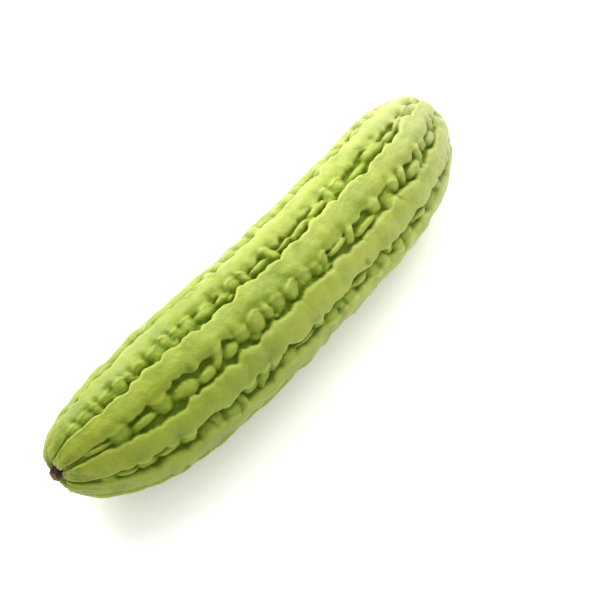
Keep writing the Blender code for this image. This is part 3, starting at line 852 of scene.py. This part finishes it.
@dataclass
class MelonFruit:
    """The whole fruit: outline, ridges, warts and fine unevenness in one closed mesh."""

    rows: int = 400
    columns_per_ridge: tuple[tuple[int, int], ...] = ((15, 12),) * 5 + ((11, 8),) * 4 + ((11, 12),)
    edge_crowding: float = 1.8
    band_place: Span = (0.88, 0.13)
    corrections: int = 10
    correction_share: float = 0.8
    pit_floor: float = 4.9 * MM
    pit_floor_radii: Span = (4.4 * MM, 6.8 * MM)
    pit_share: float = 0.1
    near_window: tuple[int, int] = (4, 3)
    far_window: tuple[int, int] = (9, 7)
    hollow_depths: Span = (0.5 * MM, 1.6 * MM)
    proud_height: float = 1.1 * MM
    stalk_end: Span = (6 * MM, 62 * MM)
    stalk_half: Span = (50 * MM, 230 * MM)
    blossom_end: Span = (5 * MM, 90 * MM)
    stalk_scar: Span = (3.5 * MM, 7.0 * MM)
    blossom_scar: Span = (0.8 * MM, 2.6 * MM)
    blossom_scar_share: float = 0.7
    outline: Outline = field(default_factory=Outline)
    fine: FineRelief = field(default_factory=FineRelief)
    finish: SkinFinish = field(default_factory=SkinFinish)

    def __post_init__(self) -> None:
        """Count the columns, and note each one's place across its ridge, or 2 for the valleys."""
        self.columns = sum(ridge + valley for ridge, valley in self.columns_per_ridge)
        places = [(self.crowded(ridge), np.full(valley, 2.0)) for ridge, valley in self.columns_per_ridge]
        self.ridge_places = np.concatenate([part for pair in places for part in pair])

    def edge_band(self) -> Array:
        """How much each column belongs to the band just inside a ridge's edges, from 0 to 1."""
        return np.exp(-((np.abs(self.ridge_places) - self.band_place[0]) / self.band_place[1]) ** 2)

    def crowded(self, count: int) -> Array:
        """Places from -1 to 1 across a ridge, crowded towards both edges."""
        u = np.linspace(-1, 1, count)
        return np.sign(u) * (1 - (1 - np.abs(u)) ** self.edge_crowding)

    def even_columns(self, relief: Relief, s: Array) -> Array:
        """Angle of each column at the given stations, where nothing strays."""
        angle = np.empty_like(s)
        start = 0
        for i, (on_ridge, in_valley) in enumerate(self.columns_per_ridge):
            here = s[:, start:start + on_ridge]
            place = self.crowded(on_ridge)
            centre = relief.ridge_centre(i, here)
            edges = (relief.ridge_edge(i, here, side) for side in Side)
            edge = np.where(place < 0, *edges)
            angle[:, start:start + on_ridge] = centre + np.abs(place) * (edge - centre)
            start += on_ridge
            here = s[:, start:start + in_valley]
            share = np.arange(1, in_valley + 1) / (in_valley + 1)
            after = (i + 1) % relief.count
            low = relief.ridge_edge(i, here, Side.HIGH)
            high = relief.ridge_edge(after, here, Side.LOW) + (2 * np.pi if after == 0 else 0)
            angle[:, start:start + in_valley] = low + share * (high - low)
            start += in_valley
        return angle

    def column_angles(self, relief: Relief, s: Array, radius: Array) -> Array:
        """Angles that keep each column in its place on the strayed relief, by repeated correction."""
        angle = self.even_columns(relief, s)
        for _ in range(self.corrections):
            strayed_s, strayed_a = relief.strayed(s, angle, radius)
            angle = angle + self.correction_share * (self.even_columns(relief, strayed_s) - strayed_a)
        return angle

    def build(self) -> Piece:
        """Build the fruit's mesh inside the box of its CAD node.

        Returns:
            The object, with the values that its material reads.
        """
        t_table, station_table = self.outline.table()
        end = station_table[-1]
        relief = Relief(end, self.outline.radius)
        s = np.linspace(0, end, self.rows)
        t = np.interp(s, station_table, t_table)
        radius = self.outline.outline_radius(t)
        grid_s = np.repeat(s[:, None], self.columns, axis=1)
        grid_r = np.broadcast_to(radius[:, None], grid_s.shape)
        grid_a = self.column_angles(relief, grid_s, grid_r)
        height, wart = relief.height(grid_s, grid_a, grid_r)
        depth = relief.floor_depth(grid_s)
        valley = 1 - np.clip(1 + height / depth, 0, 1)
        height = height + self.fine.height(grid_s, grid_a, valley, grid_r, self.outline.radius)
        height += self.fine.lip * depth / relief.depth * (self.edge_band() - self.fine.lip_level)
        points = self.seat(self.place(s, t, radius, height, grid_a))
        obj = mesh_object("fruit_skin", self.poled(points), ring_faces(self.rows - 2, self.columns))
        for name, grid in self.masks(grid_s, height, depth, wart, end).items():
            carry(obj, name, self.poled(grid))
        return obj

    @staticmethod
    def poled(grid: Array) -> Array:
        """Values of the inner rings, ring by ring, and then one value for each tip."""
        inner = grid[1:-1].reshape(-1, *grid.shape[2:])
        return np.concatenate([inner, grid[0, :1], grid[-1, :1]])

    def place(self, s: Array, t: Array, radius: Array, height: Array, angle: Array) -> Array:
        """Positions of the grid: each point stands off the outline by its height, then the axis bends."""
        d_axis = np.gradient(t * self.outline.length, s)
        d_radius = np.gradient(radius, s)
        slope = np.hypot(d_axis, d_radius)
        axis = t[:, None] * self.outline.length - (d_radius / slope)[:, None] * height
        away = np.maximum(radius[:, None] + (d_axis / slope)[:, None] * height, 0)
        away[0] = 0
        away[-1] = 0
        grown = ease_between(away, self.pit_floor_radii)
        near_stalk = axis < self.pit_share * self.outline.length
        axis = np.where(near_stalk, self.pit_floor * (1 - grown) + axis * grown, axis)
        return self.outline.bent(t, axis, away, angle)

    @staticmethod
    def seat(points: Array) -> Array:
        """Centre the points over the CAD node's box, level with its top, and press them into it."""
        low, high = (np.array(corner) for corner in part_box("fruit"))
        mine_low, mine_high = points.min(axis=(0, 1)), points.max(axis=(0, 1))
        shift = (low + high - mine_low - mine_high) / 2
        shift[2] = high[2] - mine_high[2]
        return np.clip(points + shift, low, high)

    def masks(self, s: Array, height: Array, depth: Array, wart: Array, end: float) -> dict[str, Array]:
        """Values for the material, each between 0 and 1 over the grid.

        Crease is the height over the valley floor. Hollow and proud compare the height with its mean
        over a few millimetres; the material paints shade into what is hollow, and partly a highlight onto
        what is proud. The ends and the scars fade with the distance from their tips.
        """
        near_rise = height - spread(height, *self.near_window)
        far_rise = height - spread(height, *self.far_window)
        stalk_scar = 1 - ease_between(s, self.stalk_scar)
        blossom_scar = 1 - ease_between(end - s, self.blossom_scar)
        return {
            "crest": np.clip(1 + height / depth, 0, 1),
            "wart": wart,
            "edge": np.broadcast_to(self.edge_band(), s.shape),
            # Hollow: small and larger dips, which the material darkens as painted shade.
            "hollow": (np.clip(-near_rise / self.hollow_depths[0], 0, 1)
                       + np.clip(-far_rise / self.hollow_depths[1], 0, 1)) / 2,
            # Proud: raised bumps, which the material makes paler, partly as a painted highlight.
            "proud": np.clip(far_rise / self.proud_height, 0, 1),
            "stalk_end": 1 - ease_between(s, self.stalk_end),
            # Stalk half: darkened by the material, partly as painted shade.
            "stalk_half": 1 - ease_between(s, self.stalk_half),
            "blossom_end": 1 - ease_between(end - s, self.blossom_end),
            # Scars at both tips: brown skin, with painted pit shadow at the middle.
            "scar_and_pit_shadow": np.maximum(stalk_scar, self.blossom_scar_share * blossom_scar),
        }

    def dress(self, obj: Piece, effects: SharedEffects) -> None:
        """Give the fruit its skin, and let it stand for the CAD node."""
        obj.data.materials.append(self.finish.material(effects))
        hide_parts("fruit")
        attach(obj, "root")


@dataclass
class StalkStump:
    """The dried stump of the stalk: a short oval cone, drooping, torn and ribbed with fibres."""

    rows: int = 34
    columns: int = 96
    length: float = 4.3 * MM
    half_width: float = 3.4 * MM
    half_height: float = 4.6 * MM
    end_share: float = 0.80
    droop: float = 1.2 * MM
    lobes: int = 5
    lobe_share: float = 0.10
    lobe_twist: float = 2.0
    rib: float = 0.05
    ribs: int = 19
    rib_stray: float = 3.0
    base_share: float = 0.15
    cap_start: float = 0.70
    least_ring: float = 0.02
    dish: float = 0.28
    dish_gain: float = 1.4
    torn_cell: float = 0.9 * MM
    torn_swell: float = 0.05
    torn_bite: float = 0.10
    profile_length: float = 5 * MM
    # Height band where the painted shadow on the upper side gives way to the lit lower side.
    lower_fade: Span = (-2.6 * MM, 1.2 * MM)
    seed: int = 5
    finish: DriedStalkFinish = field(default_factory=DriedStalkFinish)

    def build(self) -> Piece:
        """Build the stump inside the box of its CAD node.

        A profile runs from the middle of the base along the side to the middle of the dished, torn
        end. Its radius carries lobes and fine ribs.

        Returns:
            The object.
        """
        low, high = (np.array(corner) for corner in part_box("stalk_stump"))
        w = np.linspace(0, 1, self.rows + 2)[1:-1]
        side = np.clip((w - self.base_share) / (self.cap_start - self.base_share), 0, 1)
        cap = np.clip((w - self.cap_start) / (1 - self.cap_start), 0, 1)
        ring = np.clip(np.where(w < self.base_share, w / self.base_share, 1 - cap), self.least_ring, 1)
        out = side - self.dish * ease(cap * self.dish_gain)
        grid_w, angle = np.meshgrid(w, np.arange(self.columns) * 2 * np.pi / self.columns, indexing="ij")
        out, ring = (np.broadcast_to(row[:, None], angle.shape) for row in (out, ring))
        girth = 2 * np.pi * self.half_width
        torn = patchwork(grid_w * self.profile_length, angle, self.torn_cell, girth, self.seed)
        lobe = 1 + self.lobe_share * np.cos(self.lobes * angle + self.lobe_twist * out)
        rib = 1 - self.rib * (0.5 + 0.5 * np.cos(self.ribs * angle + self.rib_stray * torn))
        size = ring * lobe * rib * (1 - (1 - self.end_share) * out) * (1 + self.torn_swell * torn)
        out = out - self.torn_bite * (0.5 + 0.5 * torn) * ease((out - 0.5) * 2)
        middle = high[2] - self.half_height * (1 + self.lobe_share)
        points = np.stack([high[0] - self.length * out,
                           (low[1] + high[1]) / 2 - self.half_width * size * np.cos(angle),
                           middle + self.half_height * size * np.sin(angle) - self.droop * out ** 2], axis=-1)
        points = np.clip(points, low, high)
        points = np.vstack([points.reshape(-1, 3), points[[0, -1]].mean(axis=1)])
        obj = mesh_object("stump_fibres", points, ring_faces(self.rows, self.columns))
        # Lower side mask: the finish paints shadow above it.
        fade = (middle + self.lower_fade[0], middle + self.lower_fade[1])
        carry(obj, "lower_side", 1 - ease_between(points[:, 2], fade))
        return obj

    def dress(self, obj: Piece, effects: SharedEffects) -> None:
        """Give the stump its finish, and let it stand for the CAD node."""
        obj.data.materials.append(self.finish.material(effects))
        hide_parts("stalk_stump")
        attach(obj, "root")


@dataclass(frozen=True)
class Lamp:
    """Square area light: where it stands from the fruit, its side, its power in watts and its colour."""

    name: str
    towards: Place
    size: float
    power: float
    colour: Colour

    def build(self) -> None:
        """Set the light up to shine on the fruit."""
        data = bpy.data.lights.new(self.name, "AREA")
        data.size = self.size
        data.energy = self.power
        data.color = self.colour
        obj = bpy.data.objects.new(self.name, data)
        bpy.context.scene.collection.objects.link(obj)
        obj.location = Vector(self.towards)
        obj.rotation_euler = (-Vector(self.towards)).to_track_quat("-Z", "Y").to_euler()


@dataclass
class Studio:
    """White floor, soft bright light from behind and above, and the camera of the photograph."""

    azimuth: float = math.radians(-50)
    elevation: float = math.radians(57)
    distance: float = 0.9
    lens: float = 113.0
    aim: Place = (0.0090, -0.0087, 0.0258)
    floor_half: float = 4.0
    floor_white: Colour = (0.92, 0.92, 0.90)
    floor_roughness: float = 0.8
    floor_glow: Colour = (1.0, 1.0, 0.96)
    floor_glow_strength: float = 0.22
    sky: float = 0.88
    lamps: tuple[Lamp, ...] = (
        Lamp("key", (0.05, 1.30, 0.85), 1.0, 27.0, (1.0, 1.0, 0.98)),
        Lamp("top", (0.95, 0.35, 1.10), 1.2, 17.0, (1.0, 1.0, 1.0)))

    def camera(self) -> None:
        """Set up the camera, which looks down on the fruit from the stalk end."""
        back = Vector((math.sin(self.azimuth) * math.cos(self.elevation),
                       -math.cos(self.azimuth) * math.cos(self.elevation), math.sin(self.elevation)))
        cam = bpy.data.objects.new("camera", bpy.data.cameras.new("camera"))
        bpy.context.scene.collection.objects.link(cam)
        cam.data.lens = self.lens
        cam.location = Vector(self.aim) + back * self.distance
        cam.rotation_euler = (-back).to_track_quat("-Z", "Y").to_euler()
        bpy.context.scene.camera = cam

    def floor(self) -> None:
        """Lay the plain white floor, which glows a little so that shadows stay soft."""
        h = self.floor_half
        points = np.array([[-h, -h, 0], [h, -h, 0], [h, h, 0], [-h, h, 0]])
        floor = mesh_object("studio_floor", points, [np.array([[0, 1, 2, 3]])])
        mat, graph, shader = new_material("floor_white")
        graph.feed(shader, {
            "Base Color": (*self.floor_white, 1), "Roughness": self.floor_roughness,
            "Emission Color": (*self.floor_glow, 1), "Emission Strength": self.floor_glow_strength})
        floor.data.materials.append(mat)

    def build(self) -> None:
        """Set up the world, the floor, the lamps and the camera."""
        world = bpy.data.worlds.new("white_room")
        bpy.context.scene.world = world
        world.use_nodes = True
        background = world.node_tree.nodes["Background"]
        Graph(world.node_tree).feed(background, {"Color": (1, 1, 1, 1), "Strength": self.sky})
        bpy.context.scene.view_settings.view_transform = "Standard"
        self.floor()
        for lamp in self.lamps:
            lamp.build()
        self.camera()


def main() -> None:
    """Build the melon and its studio, and report each piece."""
    logging.basicConfig(level=logging.INFO, format="%(message)s")
    effects = SharedEffects()
    for part in (MelonFruit(), StalkStump()):
        piece = part.build()
        part.dress(piece, effects)
        LOG.info("%s: %d faces", piece.name, len(piece.data.polygons))
    Studio().build()


if __name__ == "__main__":
    main()
